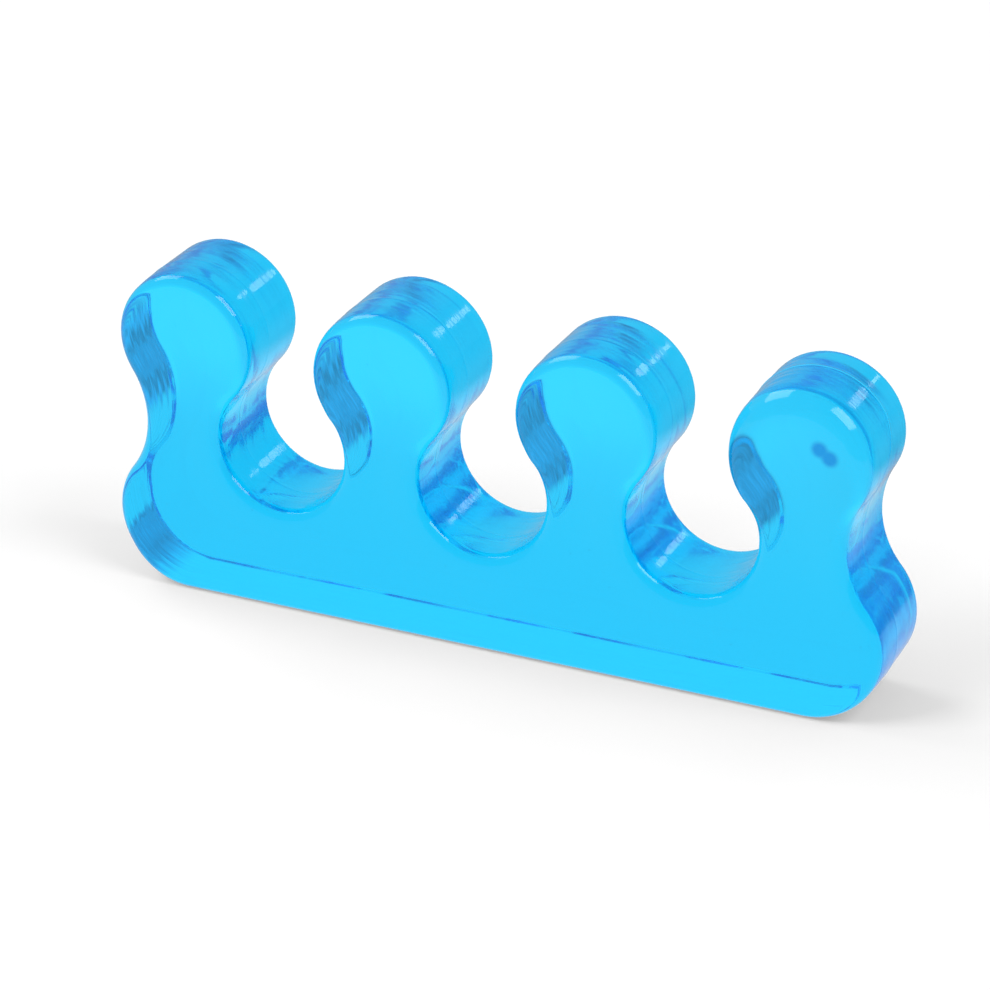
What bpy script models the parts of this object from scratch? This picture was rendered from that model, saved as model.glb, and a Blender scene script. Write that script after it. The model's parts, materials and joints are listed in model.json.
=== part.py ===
"""Toe separator: a one-piece comb of soft, clear blue gel that holds the toes apart.

Four round-headed posts stand on a low foot bar. A toe lies in each of the three round
channels between the posts, and the outer toes lie against the hollow flanks. The comb
is cast in one piece, flat on its front and back, with all its edges rolled over.

It stands on the foot bar, along X, with its front face toward -Y and +Z up. The origin
is in the middle of the bar's underside. Every size is in metres.
"""

from dataclasses import dataclass
from math import ceil, cos, pi, radians, sin, sqrt, tau

import bmesh
import bpy
from mathutils import Vector

# The row of posts: the first stands at the -X end
POST_PITCH = 0.0230
ROW_SHIFT = -0.0005
POST_HEIGHTS = (0.03665, 0.03625, 0.0358, 0.0360)
POST_RADII = (0.00773, 0.00788, 0.00781, 0.00765)

# The hollows: a toe channel between each two posts, and a shallow one in each flank
CHANNEL_RADIUS = 0.0073
FLANK_RADII = (0.0105, 0.0087)

# The foot bar
BAR_LENGTH = 0.0874
BAR_CORNER_RADIUS = 0.0082

# The section
THICKNESS = 0.0119
EDGE_ROUNDING = 0.0008

# How finely the round stretches are cut into flats
ARC_STEP = radians(8.0)
ROUNDING_STEPS = 4

# The gel
GEL_COLOUR = (0.048, 0.60, 0.95, 1.0)
GEL_ROUGHNESS = 0.16
GEL_METALLIC = 0.0
GEL_IOR = 1.42
GEL_CLEARNESS = 0.75

# Points nearer than this are one point, and faces flatter than this are one face
WELD_DISTANCE = 0.000001
FLAT_ANGLE = radians(0.5)


@dataclass(frozen=True)
class Arc:
    """One round stretch of the outline: a bulge of the gel, or a hollow in it."""

    centre: Vector
    radius: float
    hollow: bool = False

    def touch(self, other):
        """The point where this circle touches the next one from outside."""
        return self.centre + (other.centre - self.centre).normalized() * self.radius

    def points(self, start, end):
        """Points from start to end: anticlockwise on a bulge, clockwise in a hollow."""
        turn = -1.0 if self.hollow else 1.0
        first = angle_of(start - self.centre)
        sweep = (turn * (angle_of(end - self.centre) - first)) % tau
        steps = max(2, ceil(sweep / ARC_STEP))
        return [
            self.centre + self.radius * direction(first + turn * sweep * i / steps)
            for i in range(steps + 1)
        ]


def direction(angle):
    """The unit vector at this angle from +X."""
    return Vector((cos(angle), sin(angle)))


def angle_of(vector):
    """The angle of this vector, anticlockwise from +X."""
    return Vector((1.0, 0.0)).angle_signed(vector) * -1.0


def nestled(before, after, radius, side):
    """The hollow that touches two bulges: side 1 lies right of the way between them, -1 left."""
    way = after.centre - before.centre
    near = before.radius + radius
    far = after.radius + radius
    along = (way.length_squared + near**2 - far**2) / (2.0 * way.length)
    out = sqrt(near**2 - along**2)
    ahead = way.normalized()
    across = Vector((ahead.y, -ahead.x)) * side
    return Arc(before.centre + ahead * along + across * out, radius, hollow=True)


def post_heads():
    """The round heads of the posts, from the first to the last."""
    middle = (len(POST_RADII) - 1) / 2.0
    return [
        Arc(Vector(((i - middle) * POST_PITCH + ROW_SHIFT, height - radius)), radius)
        for i, (height, radius) in enumerate(zip(POST_HEIGHTS, POST_RADII))
    ]


def bar_corners():
    """The two rounded ends of the foot bar, at -X and at +X."""
    reach = BAR_LENGTH / 2.0 - BAR_CORNER_RADIUS
    return [Arc(Vector((side * reach, BAR_CORNER_RADIUS)), BAR_CORNER_RADIUS) for side in (-1, 1)]


def outline():
    """The comb's outline in X and Z: anticlockwise, from the +X end of the underside."""
    left, right = bar_corners()
    heads = post_heads()[::-1]
    arcs = [right, nestled(right, heads[0], FLANK_RADII[1], 1), heads[0]]
    for before, after in zip(heads, heads[1:]):
        arcs += [nestled(before, after, CHANNEL_RADIUS, -1), after]
    arcs += [nestled(heads[-1], left, FLANK_RADII[0], 1), left]

    # Each arc runs between its touches, and the two corners run down to the flat underside
    down = Vector((0.0, -1.0))
    ends = [a.touch(b) for a, b in zip(arcs, arcs[1:])] + [left.centre + down * left.radius]
    start = right.centre + down * right.radius
    points = [start]
    for arc, end in zip(arcs, ends):
        points += arc.points(start, end)[1:]
        start = end
    return points


def flat_slab(name, points):
    """A closed slab of the comb's thickness with this outline, as a mesh with whole faces."""
    curve = bpy.data.curves.new(name + "_outline", "CURVE")
    curve.dimensions = "2D"
    curve.fill_mode = "BOTH"
    curve.extrude = THICKNESS / 2.0
    spline = curve.splines.new("POLY")
    spline.points.add(len(points) - 1)
    for knot, point in zip(spline.points, points):
        knot.co = (point.x, point.y, 0.0, 1.0)
    spline.use_cyclic_u = True

    drawn = bpy.data.objects.new(name + "_outline", curve)
    bpy.context.scene.collection.objects.link(drawn)
    graph = bpy.context.evaluated_depsgraph_get()
    mesh = bpy.data.meshes.new_from_object(drawn.evaluated_get(graph))
    mesh.name = name
    bpy.data.objects.remove(drawn)
    bpy.data.curves.remove(curve)

    work = bmesh.new()
    work.from_mesh(mesh)
    bmesh.ops.remove_doubles(work, verts=work.verts, dist=WELD_DISTANCE)
    bmesh.ops.dissolve_limit(work, angle_limit=FLAT_ANGLE, verts=work.verts, edges=work.edges)
    bmesh.ops.recalc_face_normals(work, faces=work.faces)
    work.to_mesh(mesh)
    work.free()
    return mesh


def gel_material():
    """Clear blue silicone gel with a soft gloss."""
    material = bpy.data.materials.new("blue_gel")
    material.use_nodes = True
    material.diffuse_color = GEL_COLOUR
    shader = material.node_tree.nodes["Principled BSDF"]
    shader.inputs["Base Color"].default_value = GEL_COLOUR
    shader.inputs["Roughness"].default_value = GEL_ROUGHNESS
    shader.inputs["Metallic"].default_value = GEL_METALLIC
    shader.inputs["IOR"].default_value = GEL_IOR
    shader.inputs["Transmission Weight"].default_value = GEL_CLEARNESS
    return material


def gel_comb(collection):
    """The whole comb: the slab stood on its bar, with its edges rolled over."""
    mesh = flat_slab("gel_comb", outline())
    mesh.materials.append(gel_material())
    mesh.shade_smooth()
    mesh.set_sharp_from_angle(angle=radians(30.0))

    comb = bpy.data.objects.new("gel_comb", mesh)
    comb.rotation_euler = (pi / 2.0, 0.0, 0.0)
    collection.objects.link(comb)

    rolled = comb.modifiers.new("rolled_edges", "BEVEL")
    rolled.width = min(EDGE_ROUNDING, 0.45 * THICKNESS)
    rolled.segments = ROUNDING_STEPS
    rolled.limit_method = "ANGLE"
    rolled.angle_limit = radians(45.0)
    rolled.use_clamp_overlap = False
    return comb


def main():
    for old in list(bpy.data.objects):
        bpy.data.objects.remove(old)
    collection = bpy.data.collections.new("toe_separator")
    bpy.context.scene.collection.children.link(collection)
    gel_comb(collection)


main()
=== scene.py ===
"""The looks of the toe separator: a one-piece comb of clear blue gel on a white studio floor.

Every size is in metres. The comb stands along X, with its front face toward -Y and +Z up.
"""

import json
import logging
from dataclasses import dataclass, field
from enum import Enum
from math import atan2, ceil, cos, exp, pi, radians, sin, sqrt, tau
from typing import Optional, Union

import bmesh
import bpy
from mathutils import Matrix, Vector

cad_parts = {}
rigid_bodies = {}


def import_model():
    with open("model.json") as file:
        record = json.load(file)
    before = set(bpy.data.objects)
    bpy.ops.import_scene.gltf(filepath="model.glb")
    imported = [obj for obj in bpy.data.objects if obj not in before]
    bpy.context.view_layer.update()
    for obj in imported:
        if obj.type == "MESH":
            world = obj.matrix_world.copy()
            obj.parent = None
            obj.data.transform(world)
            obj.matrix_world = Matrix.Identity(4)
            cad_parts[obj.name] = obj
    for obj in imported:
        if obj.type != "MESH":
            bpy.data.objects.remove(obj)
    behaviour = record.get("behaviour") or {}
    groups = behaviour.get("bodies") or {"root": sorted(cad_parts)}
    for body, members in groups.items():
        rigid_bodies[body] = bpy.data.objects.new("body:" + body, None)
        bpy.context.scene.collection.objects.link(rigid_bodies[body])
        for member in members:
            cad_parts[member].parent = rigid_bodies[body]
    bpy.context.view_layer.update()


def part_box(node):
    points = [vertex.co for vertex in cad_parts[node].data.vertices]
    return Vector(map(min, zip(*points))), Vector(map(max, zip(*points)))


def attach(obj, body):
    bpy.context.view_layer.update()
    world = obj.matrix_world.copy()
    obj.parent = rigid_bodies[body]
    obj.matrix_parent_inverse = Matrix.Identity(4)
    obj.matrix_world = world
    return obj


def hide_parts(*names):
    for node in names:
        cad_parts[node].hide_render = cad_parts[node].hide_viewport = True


WALL_SHARE = "wall_share"
WAVED_SHARE = "waved_share"
LOG = logging.getLogger("toe_separator")

Span = tuple[float, float]
Place = tuple[float, float, float]
Colour = tuple[float, float, float]

# One step of a section through the rim: its Y, its inset and its wall share
Step = tuple[float, float, float]

# What goes into a node's socket: another node's socket, a number or a colour
Socket = bpy.types.NodeSocket
Feed = Union[bpy.types.NodeSocket, float, tuple[float, ...]]


class Bend(Enum):
    """Which way a round stretch of the outline turns."""

    BULGE = 1
    HOLLOW = -1


class Shows(Enum):
    """How a soft light shows on the gel."""

    AS_GLINT = "the gel mirrors it"
    NOWHERE = "it only lights"


@dataclass(frozen=True)
class Arc:
    """One round stretch of the outline: a bulge of the gel, or a hollow in it.

    Attributes:
        centre: its centre, in X and Z.
        radius: its radius.
        bend: which way it turns.
    """

    centre: Vector
    radius: float
    bend: Bend = Bend.BULGE

    def touch(self, other: "Arc") -> Vector:
        """The point where this circle touches the next one from outside."""
        return self.centre + (other.centre - self.centre).normalized() * self.radius


@dataclass(frozen=True)
class RimPoint:
    """One point of the outline, in X and Z.

    Attributes:
        place: where it is.
        normal: the way out of the gel there.
    """

    place: Vector
    normal: Vector


@dataclass
class CombOutline:
    """The comb's outline: four round heads, three channels, two flanks and the foot bar.

    Attributes:
        length: the foot bar's length.
        first_height: the height of the first post, at the -X end.
        post_pitch: the distance from one post to the next.
        row_shift: how far the row of posts stands off the bar's middle.
        post_drops: how much lower than the first each post is.
        post_radii: the radius of each post's head.
        channel_radius: the radius of the toe channels.
        flank_radii: the radii of the hollows in the flanks, at -X and at +X.
        corner_radius: the radius of the bar's ends.
        spacing: the most distance between two points of the rim.
    """

    length: float
    first_height: float
    post_pitch: float = 0.0230
    row_shift: float = -0.0005
    post_drops: tuple[float, ...] = (0.0, 0.0004, 0.00085, 0.00065)
    post_radii: tuple[float, ...] = (0.00773, 0.00788, 0.00781, 0.00765)
    channel_radius: float = 0.0073
    flank_radii: tuple[float, float] = (0.0105, 0.0100)
    corner_radius: float = 0.0082
    spacing: float = 0.0004

    def heads(self) -> list[Arc]:
        """Places the round heads of the posts.

        Returns:
            The heads, from the -X end to the +X end.
        """
        middle = (len(self.post_radii) - 1) / 2
        found = []
        for i, (drop, radius) in enumerate(zip(self.post_drops, self.post_radii)):
            across = (i - middle) * self.post_pitch + self.row_shift
            found.append(Arc(Vector((across, self.first_height - drop - radius)), radius))
        return found

    def corners(self) -> tuple[Arc, Arc]:
        """Places the two rounded ends of the foot bar.

        Returns:
            The ends at -X and at +X.
        """
        reach = self.length / 2 - self.corner_radius
        left = Arc(Vector((-reach, self.corner_radius)), self.corner_radius)
        right = Arc(Vector((reach, self.corner_radius)), self.corner_radius)
        return left, right

    @staticmethod
    def nestled(before: Arc, after: Arc, radius: float, side: int) -> Arc:
        """Finds the hollow that touches two bulges from outside.

        Args:
            before: the bulge that the outline leaves.
            after: the bulge that it goes to.
            radius: the hollow's radius.
            side: 1 puts the hollow right of the way between them, -1 left of it.

        Returns:
            The hollow.
        """
        way = after.centre - before.centre
        near = before.radius + radius
        far = after.radius + radius
        along = (way.length_squared + near**2 - far**2) / (2 * way.length)
        out = sqrt(near**2 - along**2)
        ahead = way.normalized()
        across = Vector((ahead.y, -ahead.x)) * side
        return Arc(before.centre + ahead * along + across * out, radius, Bend.HOLLOW)

    def arcs(self) -> list[Arc]:
        """Strings the bulges and the hollows between them together.

        Returns:
            All the arcs, anticlockwise from the +X corner to the -X one.
        """
        left, right = self.corners()
        heads = self.heads()[::-1]
        found = [right, self.nestled(right, heads[0], self.flank_radii[1], 1), heads[0]]
        for before, after in zip(heads, heads[1:]):
            found += [self.nestled(before, after, self.channel_radius, -1), after]
        found += [self.nestled(heads[-1], left, self.flank_radii[0], 1), left]
        return found

    def stretch(self, arc: Arc, start: Vector, end: Vector) -> list[RimPoint]:
        """Walks along one arc.

        Args:
            arc: the arc.
            start: where the outline comes onto it.
            end: where the outline leaves it.

        Returns:
            Evenly spaced points from the start on, without the end.
        """
        turn = arc.bend.value
        first = atan2(start.y - arc.centre.y, start.x - arc.centre.x)
        last = atan2(end.y - arc.centre.y, end.x - arc.centre.x)
        sweep = (turn * (last - first)) % tau
        steps = max(2, ceil(sweep * arc.radius / self.spacing))
        points = []
        for i in range(steps):
            angle = first + turn * sweep * i / steps
            spoke = Vector((cos(angle), sin(angle)))
            points.append(RimPoint(arc.centre + spoke * arc.radius, spoke * turn))
        return points

    def underside(self, start: Vector, length: float) -> list[RimPoint]:
        """Walks along the flat underside.

        Args:
            start: its -X end.
            length: how long it is.

        Returns:
            Evenly spaced points from the start on, without the end.
        """
        steps = ceil(length / self.spacing)
        places = [Vector((start.x + length * i / steps, 0)) for i in range(steps)]
        return [RimPoint(place, Vector((0, -1))) for place in places]

    def rim(self) -> list[RimPoint]:
        """Walks round the whole outline.

        Returns:
            Its points, anticlockwise from the +X end of the underside.
        """
        left, right = self.corners()
        arcs = self.arcs()
        down = Vector((0, -1))
        start = right.centre + down * right.radius
        ends = [a.touch(b) for a, b in zip(arcs, arcs[1:])]
        ends.append(left.centre + down * left.radius)
        points: list[RimPoint] = []
        for arc, end in zip(arcs, ends):
            points += self.stretch(arc, start, end)
            start = end
        return points + self.underside(start, right.centre.x - start.x)


class Wiring:
    """Puts the nodes of one material or world together."""

    def __init__(self, tree: bpy.types.NodeTree) -> None:
        """Clears the node tree that it works on."""
        tree.nodes.clear()
        self.tree = tree

    def plug(self, node: bpy.types.Node, inputs: dict[Union[str, int], Feed]) -> bpy.types.Node:
        """Fills a node's inputs.

        Args:
            node: the node.
            inputs: what goes into its sockets: numbers, colours or other nodes' sockets.

        Returns:
            The node.
        """
        for name, feed in inputs.items():
            if isinstance(feed, bpy.types.NodeSocket):
                self.tree.links.new(feed, node.inputs[name])
            else:
                node.inputs[name].default_value = feed
        return node

    def add(self, kind: str, inputs: dict[Union[str, int], Feed]) -> bpy.types.Node:
        """Adds a node and fills its inputs."""
        return self.plug(self.tree.nodes.new(kind), inputs)

    def place(self, kind: str) -> Socket:
        """A place or direction, by its name on the Texture Coordinate node."""
        return self.add("ShaderNodeTexCoord", {}).outputs[kind]

    def part(self, place: Socket, axis: str) -> Socket:
        """The share of a place or direction along one axis."""
        return self.add("ShaderNodeSeparateXYZ", {"Vector": place}).outputs[axis]

    def light_path(self, kind: str) -> Socket:
        """What kind of ray meets the surface, by its name on the Light Path node."""
        return self.add("ShaderNodeLightPath", {}).outputs[kind]

    def stored(self, name: str) -> Socket:
        """Reads a value that is stored on the mesh.

        Args:
            name: the value's name there.

        Returns:
            The value's socket.
        """
        node = self.tree.nodes.new("ShaderNodeAttribute")
        node.attribute_name = name
        return node.outputs["Fac"]

    def noise(self, place: Socket, size: float, detail: float = 0.0) -> Socket:
        """Makes a soft random pattern.

        Args:
            place: where the pattern is read.
            size: how fine it is.
            detail: how much finer grain it has.

        Returns:
            The pattern's socket.
        """
        inputs = {"Vector": place, "Scale": size, "Detail": detail}
        return self.add("ShaderNodeTexNoise", inputs).outputs["Fac"]

    def drawn_out(self, place: Socket, stretch: float) -> Socket:
        """Draws a pattern out along X and Z, so that it runs in streaks along the walls.

        Args:
            place: where the pattern is read.
            stretch: how fine it gets along X and Z, as a share of how fine it is along Y.

        Returns:
            The socket of the stretched place.
        """
        inputs = {"Vector": place, "Scale": (stretch, 1.0, stretch)}
        return self.add("ShaderNodeMapping", inputs).outputs["Vector"]

    def ramp(self, value: Socket, span: Span, levels: tuple[Feed, Feed] = (0.0, 1.0)) -> Socket:
        """Turns one span of a value evenly into another.

        Args:
            value: the value.
            span: where it comes from.
            levels: what it becomes at the two ends of the span.

        Returns:
            The new value's socket.
        """
        inputs = {
            "Value": value,
            "From Min": span[0],
            "From Max": span[1],
            "To Min": levels[0],
            "To Max": levels[1],
        }
        return self.add("ShaderNodeMapRange", inputs).outputs["Result"]

    def ease(self, value: Socket, span: Span, levels: tuple[Feed, Feed] = (0.0, 1.0)) -> Socket:
        """Turns one span of a value into another, softly at both ends.

        Args:
            value: the value.
            span: where it comes from.
            levels: what it becomes at the two ends of the span.

        Returns:
            The new value's socket.
        """
        eased = self.ramp(value, span, levels)
        eased.node.interpolation_type = "SMOOTHSTEP"
        return eased

    def reckon(self, operation: str, *values: Feed) -> Socket:
        """Does one sum.

        Args:
            operation: the sum, by its name on the Math node.
            values: what goes into it.

        Returns:
            The result's socket.
        """
        node = self.tree.nodes.new("ShaderNodeMath")
        node.operation = operation
        return self.plug(node, dict(enumerate(values))).outputs[0]

    def distance(self, place: Socket, spot: Place) -> Socket:
        """Measures how far a place is from a fixed spot.

        Args:
            place: the place.
            spot: the spot.

        Returns:
            The distance's socket.
        """
        node = self.tree.nodes.new("ShaderNodeVectorMath")
        node.operation = "DISTANCE"
        return self.plug(node, {0: place, 1: spot}).outputs["Value"]

    def tinted(self, under: Feed, tint: Colour, share: Socket) -> Socket:
        """Turns a colour to a tint where a share says so.

        Args:
            under: the colour.
            tint: the tint.
            share: the tint's share.

        Returns:
            The mixed colour's socket.
        """
        node = self.tree.nodes.new("ShaderNodeMix")
        node.data_type = "RGBA"
        inputs = {"A": under, "B": (*tint, 1.0), "Factor": share}
        return self.plug(node, inputs).outputs["Result"]

    def bump(self, height: Socket, rise: float, share: Feed, under: Optional[Socket]) -> Socket:
        """Raises the surface by a pattern.

        Args:
            height: the pattern.
            rise: how high it stands.
            share: how much of it shows.
            under: the normal of the bump that it lies on, if there is one.

        Returns:
            The normal's socket.
        """
        inputs = {"Height": height, "Distance": rise, "Strength": share}
        if under is not None:
            inputs["Normal"] = under
        return self.add("ShaderNodeBump", inputs).outputs["Normal"]

    def sees_through(self) -> Socket:
        """Tells what shows through the gel from what lights the floor.

        Returns:
            The socket of a value that is 1 for what shows through the gel, 0 for the rest.
        """
        unspread = self.reckon("LESS_THAN", self.light_path("Diffuse Depth"), 0.5)
        return self.reckon("MULTIPLY", self.light_path("Is Transmission Ray"), unspread)


@dataclass(frozen=True)
class GelFinish:
    """Clear sky-blue silicone gel: it bends light, and takes the red and some green out of it.

    Attributes:
        name: the material's name.
        ior: how strongly the gel bends light.
        density: how fast its depth colours light.
        tint: the colour that its depth leaves.
        low_skin_painted_shade: the tint of its surface at the foot, darkened as painted shade.
        high_skin_painted_light: the tint of its surface at the heads, lightened and reddened as a
            painted reflection.
        painted_shade_heights: the heights between which the painted shade turns to the painted
            reflection.
        face_roughness: how rough the faces are, where they are clearest and dullest.
        wall_roughness: the same for the walls.
        satin_span: the values of the streak pattern between which the walls turn dull.
        streak_size: how fine the streaks along the walls are.
        streak_stretch: how fine they are lengthwise, as a share of crosswise.
        streak_height: how high they stand.
        brushed_size: how fine the pattern of brushed patches is.
        brushed_span: the values of that pattern between which a patch turns brushed.
        brushed_levels: how much the streaks show in a smooth patch and in a brushed one.
        wave_size: how fine the waves of the left walls are.
        wave_stretch: how fine they are lengthwise, as a share of crosswise.
        wave_height: how high they stand.
        ripple_size: how fine the ripples of the whole surface are.
        ripple_height: how high they stand.
        speck_spread: how closely the specks lie.
        speck_size: the radius of a speck, as a share of the distance between specks.
        speck_core: the radius of its full-coloured middle, as a share of its own.
        speck_tint: the tint of a speck.
        stain_places: the middles of the stains on the last head.
        stain_radius: the radius of a stain.
        stain_edge: where a stain fades out and where it is full, as shares of its radius.
        stain_tint: the tint of a stain.
    """

    name: str = "blue_gel"
    ior: float = 1.42
    density: float = 170.0
    tint: Colour = (0.01, 0.965, 0.996)
    low_skin_painted_shade: Colour = (0.06, 0.63, 1.0)
    high_skin_painted_light: Colour = (0.19, 0.66, 1.0)
    painted_shade_heights: Span = (0.006, 0.028)
    face_roughness: Span = (0.02, 0.06)
    wall_roughness: Span = (0.05, 0.22)
    satin_span: Span = (0.46, 0.66)
    streak_size: float = 2600.0
    streak_stretch: float = 0.05
    streak_height: float = 0.000007
    brushed_size: float = 170.0
    brushed_span: Span = (0.42, 0.66)
    brushed_levels: Span = (0.15, 1.0)
    wave_size: float = 700.0
    wave_stretch: float = 0.22
    wave_height: float = 0.00022
    ripple_size: float = 120.0
    ripple_height: float = 0.000014
    speck_spread: float = 350.0
    speck_size: float = 0.032
    speck_core: float = 0.6
    speck_tint: Colour = (0.05, 0.30, 0.62)
    stain_places: tuple[Place, ...] = ((0.0365, -0.006, 0.0306), (0.0376, -0.006, 0.0298))
    stain_radius: float = 0.0010
    stain_edge: Span = (1.25, 0.5)
    stain_tint: Colour = (0.001, 0.18, 0.62)

    def skin(self, wiring: Wiring, place: Socket) -> Socket:
        """Tints the surface with painted shade, darker at the foot, and puts the specks and stains
        on it.

        Args:
            wiring: the material's nodes.
            place: the place on the gel.

        Returns:
            The colour's socket.
        """
        # Painted shade and reflection: the tint darkens toward the foot, where the shadowed floor
        # would show through, and lightens toward the heads.
        rise = wiring.ease(wiring.part(place, "Z"), self.painted_shade_heights)
        colour = wiring.tinted((*self.low_skin_painted_shade, 1.0), self.high_skin_painted_light, rise)
        specks = wiring.add("ShaderNodeTexVoronoi", {"Vector": place, "Scale": self.speck_spread})
        edge = (self.speck_size, self.speck_size * self.speck_core)
        dots = wiring.ramp(specks.outputs["Distance"], edge)
        colour = wiring.tinted(colour, self.speck_tint, dots)
        fade, full = self.stain_edge
        edge = (self.stain_radius * fade, self.stain_radius * full)
        for spot in self.stain_places:
            share = wiring.ease(wiring.distance(place, spot), edge)
            colour = wiring.tinted(colour, self.stain_tint, share)
        return colour

    def relief(
        self,
        wiring: Wiring,
        place: Socket,
        wall: Socket,
        streaks: Socket,
        ripples: Socket,
    ) -> Socket:
        """Raises the streaks and waves of the walls and the ripples of the whole surface.

        Args:
            wiring: the material's nodes.
            place: the place on the gel.
            wall: 1 on the walls, 0 on the faces.
            streaks: the streak pattern.
            ripples: the ripple pattern.

        Returns:
            The normal's socket.
        """
        patches = wiring.noise(place, self.brushed_size)
        brushed = wiring.ramp(patches, self.brushed_span, self.brushed_levels)
        rubbed = wiring.reckon("MULTIPLY", wall, brushed)
        normal = wiring.bump(streaks, self.streak_height, rubbed, None)
        waves = wiring.noise(wiring.drawn_out(place, self.wave_stretch), self.wave_size, 1.0)
        normal = wiring.bump(waves, self.wave_height, wiring.stored(WAVED_SHARE), normal)
        return wiring.bump(ripples, self.ripple_height, 1.0, normal)

    def gloss(self, wiring: Wiring, wall: Socket, streaks: Socket, ripples: Socket) -> Socket:
        """Makes the faces clear and the walls duller, each a little uneven.

        Args:
            wiring: the material's nodes.
            wall: 1 on the walls, 0 on the faces.
            streaks: the streak pattern.
            ripples: the ripple pattern.

        Returns:
            The roughness's socket.
        """
        clear = wiring.ramp(ripples, (0.0, 1.0), self.face_roughness)
        satin = wiring.ramp(streaks, self.satin_span, self.wall_roughness)
        mix = wiring.add("ShaderNodeMix", {"Factor": wall, "A": clear, "B": satin})
        return mix.outputs["Result"]

    def make(self) -> bpy.types.Material:
        """Builds the material.

        Returns:
            The new material.
        """
        material = bpy.data.materials.new(self.name)
        material.use_nodes = True
        wiring = Wiring(material.node_tree)
        place = wiring.place("Object")
        wall = wiring.stored(WALL_SHARE)
        ripples = wiring.noise(place, self.ripple_size)
        streaks = wiring.noise(wiring.drawn_out(place, self.streak_stretch), self.streak_size, 1.0)
        surface = {
            "IOR": self.ior,
            "Transmission Weight": 1.0,
            "Base Color": self.skin(wiring, place),
            "Normal": self.relief(wiring, place, wall, streaks, ripples),
            "Roughness": self.gloss(wiring, wall, streaks, ripples),
        }
        depth = {"Color": (*self.tint, 1.0), "Density": self.density}
        shader = wiring.add("ShaderNodeBsdfPrincipled", surface).outputs["BSDF"]
        volume = wiring.add("ShaderNodeVolumeAbsorption", depth).outputs["Volume"]
        wiring.add("ShaderNodeOutputMaterial", {"Surface": shader, "Volume": volume})
        return material


@dataclass(frozen=True)
class FloorFinish:
    """A white sweep that shows as white and keeps a pale shadow.

    What the gel shows of it is white near the comb, and gives way further back to the
    studio behind it.

    Attributes:
        name: the material's name.
        white_share: how much of the floor shows as plain white to the camera.
        paint: how pale its paint is.
        mirrored_level: how bright it is where the gel mirrors it.
        clear_span: the distances behind the comb's middle over which it gives way.
        painted_shade_span: the places along X between which what lies behind it darkens, as
            painted shade.
        painted_shade_levels: how bright that painted light and shade is at those two places.
    """

    name: str = "white_floor"
    white_share: float = 0.36
    paint: float = 0.97
    mirrored_level: float = 0.70
    clear_span: Span = (0.034, 0.056)
    painted_shade_span: Span = (-0.025, 0.07)
    painted_shade_levels: Span = (1.06, 0.72)

    def sweep(self, wiring: Wiring, shown: Socket) -> Socket:
        """Paints the floor pale, and lets it glow white where it shows.

        Args:
            wiring: the material's nodes.
            shown: 1 where the gel shows the floor.

        Returns:
            The socket of the painted surface.
        """
        camera = wiring.light_path("Is Camera Ray")
        straight = wiring.reckon("MAXIMUM", camera, wiring.light_path("Is Transmission Ray"))
        added = 1.0 - self.mirrored_level
        level = wiring.reckon("MULTIPLY_ADD", straight, added, self.mirrored_level)
        share = wiring.reckon("MULTIPLY_ADD", camera, self.white_share, shown)
        pale = (self.paint, self.paint, self.paint, 1.0)
        paint = wiring.add("ShaderNodeBsdfDiffuse", {"Color": pale}).outputs["BSDF"]
        white = {"Color": (1.0, 1.0, 1.0, 1.0), "Strength": level}
        glow = wiring.add("ShaderNodeEmission", white).outputs["Emission"]
        mix = wiring.add("ShaderNodeMixShader", {"Fac": share, 1: paint, 2: glow})
        return mix.outputs["Shader"]

    def make(self) -> bpy.types.Material:
        """Builds the material.

        Returns:
            The new material.
        """
        material = bpy.data.materials.new(self.name)
        material.use_nodes = True
        wiring = Wiring(material.node_tree)
        glossy = wiring.light_path("Is Glossy Ray")
        shown = wiring.reckon("MAXIMUM", wiring.sees_through(), glossy)
        place = wiring.place("Object")
        far = wiring.ease(wiring.part(place, "Y"), self.clear_span)
        beyond = wiring.reckon("MULTIPLY", shown, far)
        # Painted light and shade: beyond the comb the floor lets the studio through brighter to
        # the left and darker to the right.
        painted_shade_colour = wiring.ease(wiring.part(place, "X"), self.painted_shade_span, self.painted_shade_levels)
        clear = wiring.add("ShaderNodeBsdfTransparent", {"Color": painted_shade_colour}).outputs["BSDF"]
        white = self.sweep(wiring, shown)
        mix = wiring.add("ShaderNodeMixShader", {"Fac": beyond, 1: white, 2: clear})
        wiring.add("ShaderNodeOutputMaterial", {"Surface": mix.outputs["Shader"]})
        return material


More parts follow.
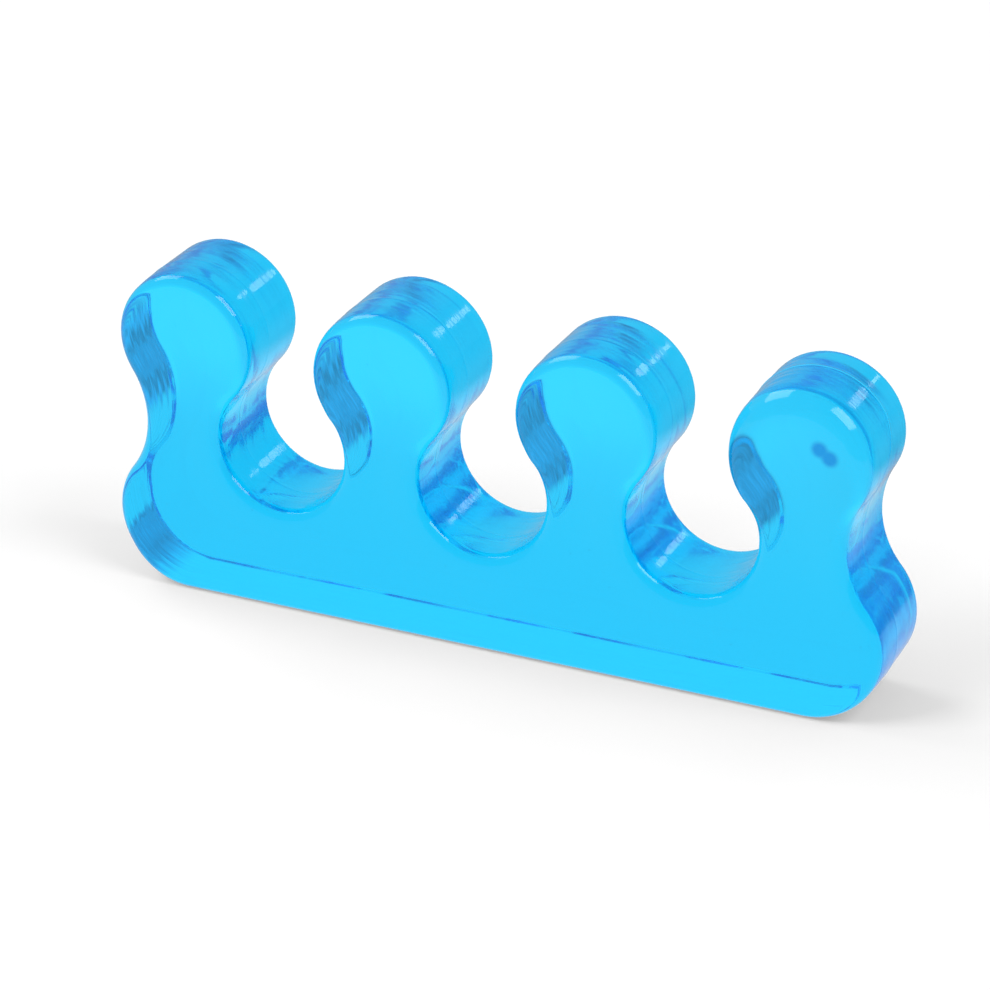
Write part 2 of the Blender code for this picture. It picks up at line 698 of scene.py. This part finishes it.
@dataclass
class GelComb:
    """The comb itself: one closed casting, lofted through its outline from face to face.

    The walls lean in from the parting line toward both faces, and the front edge is
    rolled over further than the back one, most of all on the last head.

    Attributes:
        outline: the outline that it follows.
        thickness: the distance from face to face.
        finish: the gel.
        front_roll: the radius of the front edge.
        back_roll: the radius of the back edge.
        last_head_roll: the radius of the front edge on the last head.
        foot_roll: the radius of the front edge along the underside.
        roll_steps: how many steps a rolled edge has.
        wall_step: about how far apart two steps on a wall are.
        face_reach: the width of the outer band of a face, over which it dips.
        face_steps: how many steps that band has.
        face_dish: how far it dips.
        wall_lean: how far the walls lean in, as a share of the distance from the parting line.
        front_slope: how much more they lean just behind the front face.
        slope_depth: how far behind the front face that ends.
        fullness: how far the casting stands past its outline at the parting line.
        seam_share: where the parting line lies, as a share of the thickness.
        last_head_seam: where it lies on the last head.
        seam_height: how high its bead stands.
        last_head_bead: how high its bead stands on the last head.
        seam_width: how wide that bead is.
        seam_steps: how many steps it has.
        crown_fade: how quickly the last head's own edge and bead fade beyond its circle,
            as a share of its radius.
    """

    outline: CombOutline
    thickness: float
    finish: GelFinish = field(default_factory=GelFinish)
    front_roll: float = 0.0012
    back_roll: float = 0.0006
    last_head_roll: float = 0.0026
    foot_roll: float = 0.0007
    roll_steps: int = 8
    wall_step: float = 0.0006
    face_reach: float = 0.0024
    face_steps: int = 5
    face_dish: float = 0.00010
    wall_lean: float = 0.014
    front_slope: float = 0.05
    slope_depth: float = 0.0024
    fullness: float = 0.00013
    seam_share: float = 0.42
    last_head_seam: float = 0.64
    seam_height: float = 0.00002
    last_head_bead: float = 0.00006
    seam_width: float = 0.00022
    seam_steps: int = 6
    crown_fade: float = 0.25

    def nearness(self, point: RimPoint) -> float:
        """Tells how far a rim point belongs to the last head's crown.

        Args:
            point: the point of the rim.

        Returns:
            A share from 0 to 1.
        """
        head = self.outline.heads()[-1]
        away = (point.place - head.centre).length / head.radius
        crown = max(0.0, min(1.0, 0.5 + point.normal.y))
        return crown * exp(-((max(0.0, away - 1.0) / self.crown_fade) ** 2))

    def bead(self, off: float, near: float) -> float:
        """Tells how far the parting line stands proud, at this distance from its middle.

        Args:
            off: the distance across the thickness.
            near: how far the point belongs to the last head's crown.

        Returns:
            The height.
        """
        height = self.seam_height + near * (self.last_head_bead - self.seam_height)
        return height * exp(-((off / (self.seam_width / 2)) ** 2))

    def face_edge(self, side: int, roll: float) -> list[Step]:
        """Shapes the outer band of one face and its rolled edge, from the face out to the wall.

        Args:
            side: -1 for the front face, 1 for the back.
            roll: the radius of the rolled edge.

        Returns:
            Steps as section() gives them.
        """
        half = self.thickness / 2
        steps = []
        for i in range(self.face_steps):
            share = 1 - i / self.face_steps
            depth = half - self.face_dish * share**2
            steps.append((side * depth, roll + self.face_reach * share, 0.0))
        for i in range(self.roll_steps):
            angle = pi / 2 * i / self.roll_steps
            depth = half - roll * (1 - cos(angle))
            steps.append((side * depth, roll * (1 - sin(angle)), sin(angle) ** 2))
        return steps

    def wall(self, seam: float, roll: float, near: float) -> list[Step]:
        """Shapes the wall between the rolled edges, with the bead of the parting line on it.

        Args:
            seam: the parting line's place across the thickness.
            roll: the radius of the front edge.
            near: how far the point belongs to the last head's crown.

        Returns:
            Steps as section() gives them.
        """
        half = self.thickness / 2
        count = ceil(half / self.wall_step)
        low = -half + roll
        high = half - self.back_roll
        first = seam - self.seam_width
        last = seam + self.seam_width
        ys = [low + (first - low) * i / count for i in range(count)]
        ys += [first + (last - first) * i / self.seam_steps for i in range(self.seam_steps)]
        ys += [last + (high - last) * i / count for i in range(count + 1)]
        return [(y, -self.bead(y - seam, near), 1.0) for y in ys]

    def section(self, point: RimPoint) -> list[Step]:
        """Shapes the section through the rim at one point, from the front face to the back.

        Args:
            point: the point of the rim.

        Returns:
            The steps of the section, as (y, inset, wall share). The inset is how far a
            step lies inside the outline, and the wall share is 1 on the wall, 0 on a face.
        """
        near = self.nearness(point)
        half = self.thickness / 2
        low = max(0.0, min(1.0, -2.0 * point.normal.y - 1.0))
        front = self.front_roll + near * (self.last_head_roll - self.front_roll)
        front += low * (self.foot_roll - self.front_roll)
        slope = (1.0 - low) * self.front_slope
        seam_share = self.seam_share + near * (self.last_head_seam - self.seam_share)
        seam = -half + seam_share * self.thickness
        steps = self.face_edge(-1, front) + self.wall(seam, front, near)
        steps += reversed(self.face_edge(1, self.back_roll))
        bend = -half + self.slope_depth
        leant = []
        for y, inset, share in steps:
            lean = self.wall_lean * abs(y - seam) + slope * max(0.0, bend - y)
            leant.append((y, inset + lean - self.fullness, share))
        return leant

    @staticmethod
    def loft(rim: list[RimPoint], sections: list[list[Step]]) -> bpy.types.Mesh:
        """Joins the sections into one closed skin.

        Args:
            rim: the points of the outline.
            sections: the section at each of them.

        Returns:
            The mesh, with its points in rings round the rim, from front to back.
        """
        work = bmesh.new()
        rings = []
        for level in zip(*sections):
            ring = []
            for point, (y, inset, _) in zip(rim, level):
                spot = point.place - point.normal * inset
                ring.append(work.verts.new((spot.x, y, max(0.0, spot.y))))
            rings.append(ring)
        count = len(rim)
        for near, far in zip(rings, rings[1:]):
            for i in range(count):
                j = (i + 1) % count
                work.faces.new((near[i], near[j], far[j], far[i]))
        for ring in (rings[0], rings[-1]):
            edges = [work.edges.get((ring[i], ring[(i + 1) % count])) for i in range(count)]
            bmesh.ops.triangle_fill(work, use_beauty=True, use_dissolve=False, edges=edges)
        bmesh.ops.recalc_face_normals(work, faces=work.faces)
        mesh = bpy.data.meshes.new("gel_casting")
        work.to_mesh(mesh)
        work.free()
        mesh.shade_smooth()
        return mesh

    @staticmethod
    def mark(mesh: bpy.types.Mesh, rim: list[RimPoint], sections: list[list[Step]]) -> None:
        """Stores on the mesh where its walls are, and which of them face left.

        Args:
            mesh: the skin that loft() made.
            rim: the points of the outline.
            sections: the section at each of them.
        """
        walls = []
        waves = []
        for level in zip(*sections):
            for point, (_, _, share) in zip(rim, level):
                walls.append(share)
                waves.append(share * max(0.0, min(1.0, -2.0 * point.normal.x)))
        for name, shares in ((WALL_SHARE, walls), (WAVED_SHARE, waves)):
            mesh.attributes.new(name, "FLOAT", "POINT").data.foreach_set("value", shares)

    def build(self) -> bpy.types.Object:
        """Makes the casting and gives it its finish.

        Returns:
            The finished object.
        """
        rim = self.outline.rim()
        sections = [self.section(point) for point in rim]
        mesh = self.loft(rim, sections)
        self.mark(mesh, rim, sections)
        mesh.materials.append(self.finish.make())
        comb = bpy.data.objects.new("gel_casting", mesh)
        bpy.context.scene.collection.objects.link(comb)
        return comb


@dataclass(frozen=True)
class Softbox:
    """One soft studio light. None of them shows through the gel.

    Attributes:
        name: its name.
        place: where it hangs.
        size: its width and height.
        power: its power in watts.
        shows: how it shows on the gel.
        aim: the point that it faces.
    """

    name: str
    place: Place
    size: tuple[float, float]
    power: float
    shows: Shows = Shows.AS_GLINT
    aim: Place = (0.0, 0.0, 0.0)

    def build(self) -> bpy.types.Object:
        """Hangs the light.

        Returns:
            The light.
        """
        lamp = bpy.data.lights.new(self.name, "AREA")
        lamp.shape = "RECTANGLE"
        lamp.size, lamp.size_y = self.size
        lamp.energy = self.power
        hung = bpy.data.objects.new(self.name, lamp)
        way = Vector(self.aim) - Vector(self.place)
        hung.location = self.place
        hung.rotation_euler = way.to_track_quat("-Z", "Y").to_euler()
        hung.visible_transmission = False
        hung.visible_glossy = self.shows is Shows.AS_GLINT
        bpy.context.scene.collection.objects.link(hung)
        return hung


@dataclass
class Camera:
    """The camera, by the way it looks at the comb. Its angles are in radians.

    Attributes:
        azimuth: how far it stands round to the right of the front.
        elevation: how far it looks down.
        roll: how far it is turned about the way it looks.
        distance: how far it stands from the point that it looks at.
        aim: that point.
        lens: its focal length in millimetres.
        film: the width of its picture in millimetres.
        nearest: how near a thing may be and still show.
    """

    azimuth: float = radians(24.367)
    elevation: float = radians(26.606)
    roll: float = radians(-0.370)
    distance: float = 0.42413
    aim: Place = (-0.001414, 0.0, 0.015342)
    lens: float = 146.57
    film: float = 36.0
    nearest: float = 0.01

    def build(self) -> bpy.types.Object:
        """Places the camera and makes it the scene's own.

        Returns:
            The camera.
        """
        back = Vector((
            sin(self.azimuth) * cos(self.elevation),
            -cos(self.azimuth) * cos(self.elevation),
            sin(self.elevation),
        ))
        right = (-back).cross(Vector((0, 0, 1))).normalized()
        up = right.cross(-back)
        across = right * cos(self.roll) + up * sin(self.roll)
        over = up * cos(self.roll) - right * sin(self.roll)
        turn = Matrix((across, over, back)).transposed().to_4x4()
        lens = bpy.data.cameras.new("camera")
        lens.lens = self.lens
        lens.sensor_width = self.film
        lens.clip_start = self.nearest
        camera = bpy.data.objects.new("camera", lens)
        camera.matrix_world = Matrix.Translation(Vector(self.aim) + back * self.distance) @ turn
        bpy.context.scene.collection.objects.link(camera)
        bpy.context.scene.camera = camera
        return camera


@dataclass
class Studio:
    """The white floor, the pale world and the soft lights.

    Attributes:
        floor_finish: the floor's paint.
        floor_reach: how far the floor goes to each side.
        floor_gap: how far it lies below the comb.
        bright_level: how bright the world is to the left.
        dim_levels: how bright it is to the right, in its dark patches and its light ones.
        dim_tint: its tint to the right, as it shows through the gel.
        patch_size: how fine those patches are.
        patch_span: the values of their pattern between which dark turns to light.
        shade_span: the directions, by their X, between which the world dims.
        lit_share: how much of its level is left where it doesn't show through the gel.
        most_bounces: how often light may bend or bounce in the gel.
        floor_bounces: how often light may bounce off the floor.
        softboxes: the lights.
    """

    floor_finish: FloorFinish = field(default_factory=FloorFinish)
    floor_reach: float = 2.0
    floor_gap: float = 0.0002
    bright_level: float = 1.10
    dim_levels: Span = (0.58, 0.98)
    dim_tint: Colour = (0.68, 0.76, 1.0)
    patch_size: float = 3.0
    patch_span: Span = (0.30, 0.70)
    shade_span: Span = (-0.15, 0.35)
    lit_share: float = 0.34
    most_bounces: int = 20
    floor_bounces: int = 1
    softboxes: tuple[Softbox, ...] = (
        Softbox("edge_glow", (-1.20, 0.22, 1.26), (1.1, 0.9), 9.0),
        Softbox("left_key", (-0.80, -0.80, 1.10), (0.7, 0.7), 10.8, shows=Shows.NOWHERE),
        Softbox("right_key", (1.00, -0.18, 1.12), (0.9, 0.9), 11.0),
        Softbox("back_strip", (0.30, 0.65, 0.356), (0.08, 0.11), 0.07, aim=(0.0, 0.0, 0.02)),
    )

    def build_floor(self) -> bpy.types.Object:
        """Lays the floor.

        Returns:
            The floor.
        """
        work = bmesh.new()
        bmesh.ops.create_grid(work, x_segments=8, y_segments=8, size=self.floor_reach)
        bmesh.ops.translate(work, verts=work.verts, vec=(0, 0, -self.floor_gap))
        mesh = bpy.data.meshes.new("studio_floor")
        work.to_mesh(mesh)
        work.free()
        mesh.materials.append(self.floor_finish.make())
        laid = bpy.data.objects.new("studio_floor", mesh)
        bpy.context.scene.collection.objects.link(laid)
        return laid

    def build_world(self) -> bpy.types.World:
        """Makes the pale world, which shows as white and lights at its own level.

        Returns:
            The world.
        """
        world = bpy.data.worlds.new("studio_world")
        world.use_nodes = True
        wiring = Wiring(world.node_tree)
        way = wiring.place("Generated")
        across = wiring.part(way, "X")
        patches = wiring.noise(way, self.patch_size, 1.0)
        dim = wiring.ramp(patches, self.patch_span, self.dim_levels)
        side = wiring.ease(across, self.shade_span, (self.bright_level, dim))
        through = wiring.sees_through()
        dimmed = wiring.reckon("MULTIPLY", wiring.ease(across, self.shade_span), through)
        hue = wiring.tinted((1.0, 1.0, 1.0, 1.0), self.dim_tint, dimmed)
        share = wiring.ramp(through, (0.0, 1.0), (self.lit_share, 1.0))
        level = wiring.reckon("MULTIPLY", side, share)
        level = wiring.reckon("MAXIMUM", level, wiring.light_path("Is Camera Ray"))
        sky = wiring.add("ShaderNodeBackground", {"Color": hue, "Strength": level})
        wiring.add("ShaderNodeOutputWorld", {"Surface": sky.outputs["Background"]})
        world.cycles.sampling_method = "NONE"
        bpy.context.scene.world = world
        return world

    def set_bounces(self) -> None:
        """Lets light bounce often enough inside the gel, and keeps the rest quick."""
        cycles = bpy.context.scene.cycles
        cycles.max_bounces = self.most_bounces
        cycles.glossy_bounces = self.most_bounces
        cycles.transmission_bounces = self.most_bounces
        cycles.diffuse_bounces = self.floor_bounces
        cycles.use_light_tree = False
        cycles.caustics_refractive = False
        cycles.caustics_reflective = False

    def build(self) -> None:
        """Sets the whole studio up."""
        bpy.context.scene.view_settings.view_transform = "Standard"
        self.set_bounces()
        self.build_floor()
        self.build_world()
        for softbox in self.softboxes:
            softbox.build()


def main() -> None:
    """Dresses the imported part, piece by piece."""
    logging.basicConfig(level=logging.INFO, format="%(message)s")
    for old in list(bpy.data.objects):
        bpy.data.objects.remove(old)
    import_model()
    low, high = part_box("gel_comb")
    Camera().build()
    LOG.info("camera placed")
    outline = CombOutline(length=high.x - low.x, first_height=high.z)
    comb = GelComb(outline, thickness=high.y - low.y).build()
    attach(comb, "root")
    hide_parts("gel_comb")
    LOG.info("%s: %d faces", comb.name, len(comb.data.polygons))
    Studio().build()
    LOG.info("studio set up")


if __name__ == "__main__":
    main()
